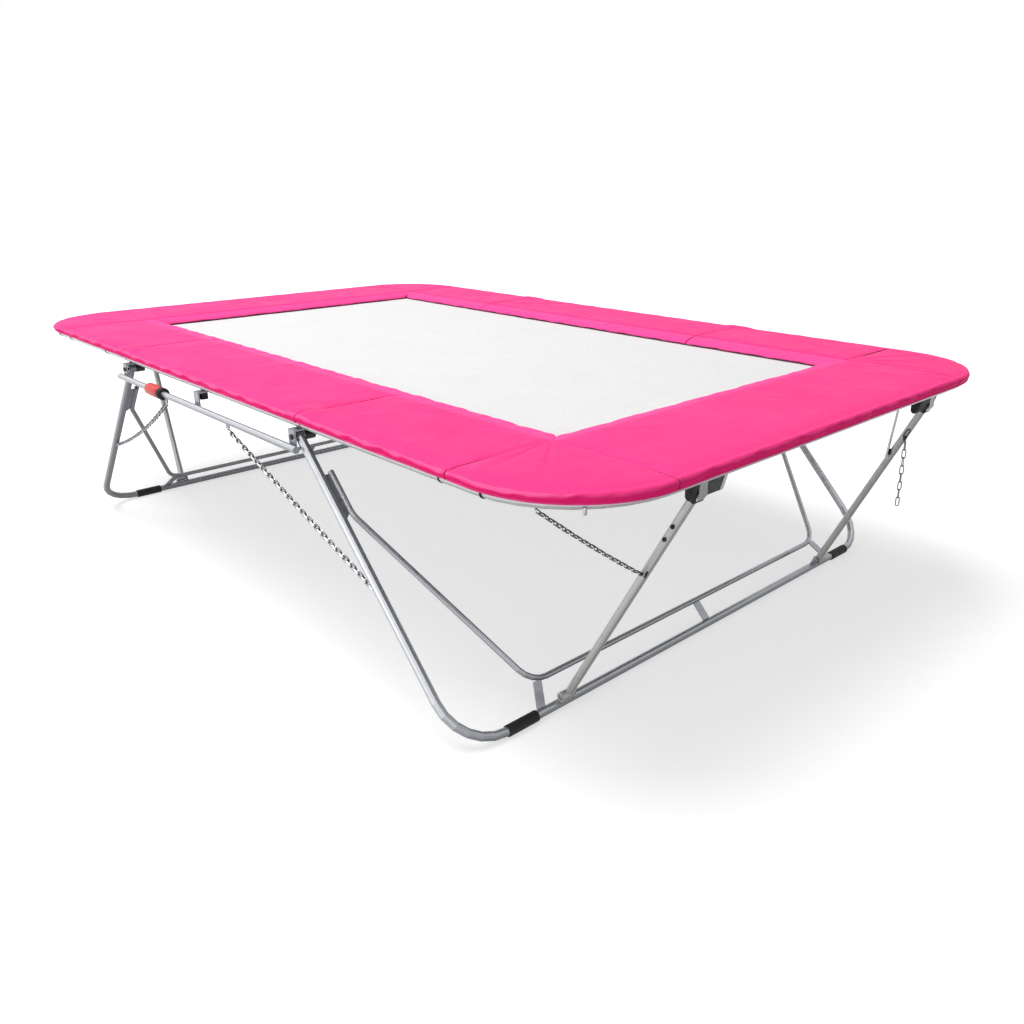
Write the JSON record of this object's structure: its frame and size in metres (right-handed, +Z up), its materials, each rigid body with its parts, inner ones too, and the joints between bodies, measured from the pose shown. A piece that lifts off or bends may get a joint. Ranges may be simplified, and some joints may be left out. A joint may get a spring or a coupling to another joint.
{
  "type": "folding trampoline",
  "caption": "Large rectangular folding trampoline: pink pads round a white bed, end sections that fold up over the middle, and U-shaped legs that fold in beneath.",
  "frame": {"origin": "on the floor, under the middle of the bed", "axes": "+X along the length towards the front end, +Y across to the right side, +Z up"},
  "size_m": [5.126, 3.164, 1.177],
  "materials": {
    "galvanised": "bright zinc-plated tube with a fine grain",
    "dark_steel": "dark zinc-plated steel",
    "spring_steel": "plated spring wire",
    "vinyl": "smooth pink vinyl over foam",
    "bed_cloth": "flat white woven tape bed",
    "rubber": "matt black rubber",
    "red_plastic": "red plastic sleeve"
  },
  "bodies": {
    "middle": {"bed_middle": "bed_cloth", "buffer_left": "rubber", "buffer_right": "rubber", "fold_pin_front_left": "dark_steel", "fold_pin_front_right": "dark_steel", "fold_pin_rear_left": "dark_steel", "fold_pin_rear_right": "dark_steel", "leg_chain_front_left": "dark_steel", "leg_chain_front_right": "dark_steel", "leg_chain_rear_left": "dark_steel", "leg_chain_rear_right": "dark_steel", "leg_pin_front_left": "rubber", "leg_pin_front_right": "rubber", "leg_pin_rear_left": "rubber", "leg_pin_rear_right": "rubber", "lower_rail_left": "galvanised", "lower_rail_right": "galvanised", "pad_middle_left": "vinyl", "pad_middle_right": "vinyl", "red_sleeve": "red_plastic", "side_rail_left": "galvanised", "side_rail_right": "galvanised", "springs_middle_left": "spring_steel", "springs_middle_right": "spring_steel"},
    "end_front": {"bed_front": "bed_cloth", "cradle_front_left": "galvanised", "cradle_front_right": "galvanised", "cradle_rubber_front_left": "rubber", "cradle_rubber_front_right": "rubber", "end_frame_front": "galvanised", "pad_corner_front_left": "vinyl", "pad_corner_front_right": "vinyl", "pad_end_front": "vinyl", "pad_side_front_left": "vinyl", "pad_side_front_right": "vinyl", "springs_front": "spring_steel"},
    "leg_front": {"foot_front_left": "rubber", "foot_front_right": "rubber", "leg_front": "galvanised"},
    "brace_front_left": {"brace_front_left": "galvanised"},
    "brace_front_right": {"brace_front_right": "galvanised"},
    "end_rear": {"bed_rear": "bed_cloth", "cradle_rear_left": "galvanised", "cradle_rear_right": "galvanised", "cradle_rubber_rear_left": "rubber", "cradle_rubber_rear_right": "rubber", "end_frame_rear": "galvanised", "pad_corner_rear_left": "vinyl", "pad_corner_rear_right": "vinyl", "pad_end_rear": "vinyl", "pad_side_rear_left": "vinyl", "pad_side_rear_right": "vinyl", "springs_rear": "spring_steel"},
    "leg_rear": {"foot_rear_left": "rubber", "foot_rear_right": "rubber", "leg_rear": "galvanised"},
    "brace_rear_left": {"brace_rear_left": "galvanised"},
    "brace_rear_right": {"brace_rear_right": "galvanised"},
    "corner_chain": {"corner_chain": "dark_steel"},
    "loose_chain": {"loose_chain": "dark_steel"}
  },
  "joints": [
    {"name": "fold_front", "type": "hinge", "parent": "middle", "child": "end_front", "pos_m": [0.96, 0, 1.167], "axis": [0, -1, 0], "range_deg": [0, 180]},
    {"name": "fold_rear", "type": "hinge", "parent": "middle", "child": "end_rear", "pos_m": [-0.96, 0, 1.167], "axis": [0, 1, 0], "range_deg": [0, 155]},
    {"name": "leg_front_swing", "type": "hinge", "parent": "middle", "child": "leg_front", "pos_m": [0.93, 0, 1.072], "axis": [0, 1, 0], "range_deg": [0, 118], "deforming": ["leg_chain_front_left", "leg_chain_front_right"]},
    {"name": "leg_rear_swing", "type": "hinge", "parent": "middle", "child": "leg_rear", "pos_m": [-0.93, 0, 1.072], "axis": [0, -1, 0], "range_deg": [0, 132], "deforming": ["leg_chain_rear_left", "leg_chain_rear_right"]},
    {"name": "brace_front_left_swing", "type": "hinge", "parent": "leg_front", "child": "brace_front_left", "pos_m": [1.958, 0, 0.062], "axis": [0, -1, 0], "range_deg": [0, 70]},
    {"name": "brace_front_right_swing", "type": "hinge", "parent": "leg_front", "child": "brace_front_right", "pos_m": [1.958, 0, 0.062], "axis": [0, -1, 0], "range_deg": [0, 70]},
    {"name": "brace_rear_left_swing", "type": "hinge", "parent": "leg_rear", "child": "brace_rear_left", "pos_m": [-1.958, 0, 0.062], "axis": [0, 1, 0], "range_deg": [0, 70]},
    {"name": "brace_rear_right_swing", "type": "hinge", "parent": "leg_rear", "child": "brace_rear_right", "pos_m": [-1.958, 0, 0.062], "axis": [0, 1, 0], "range_deg": [0, 70]},
    {"name": "corner_chain_drop", "type": "hinge", "parent": "brace_front_left", "child": "corner_chain", "pos_m": [2.30185, -0.92811, 0.7055], "axis": [1, -0.0036, 0], "range_deg": [0, 127.2], "deforming": ["corner_chain"]},
    {"name": "loose_chain_hang", "type": "hinge", "parent": "brace_front_right", "child": "loose_chain", "pos_m": [2.41224, 0.88887, 0.8565], "axis": [0, -1, 0], "range_deg": [0, 48]}
  ],
  "couplings": [
    {"joint": "brace_front_left_swing", "follows": "leg_front_swing", "ratio": 0.59322},
    {"joint": "brace_front_right_swing", "follows": "leg_front_swing", "ratio": 0.59322},
    {"joint": "brace_rear_left_swing", "follows": "leg_rear_swing", "ratio": 0.5303},
    {"joint": "brace_rear_right_swing", "follows": "leg_rear_swing", "ratio": 0.5303},
    {"joint": "corner_chain_drop", "follows": "fold_front", "ratio": 0.70665},
    {"joint": "loose_chain_hang", "follows": "leg_front_swing", "ratio": 0.40678}
  ]
}
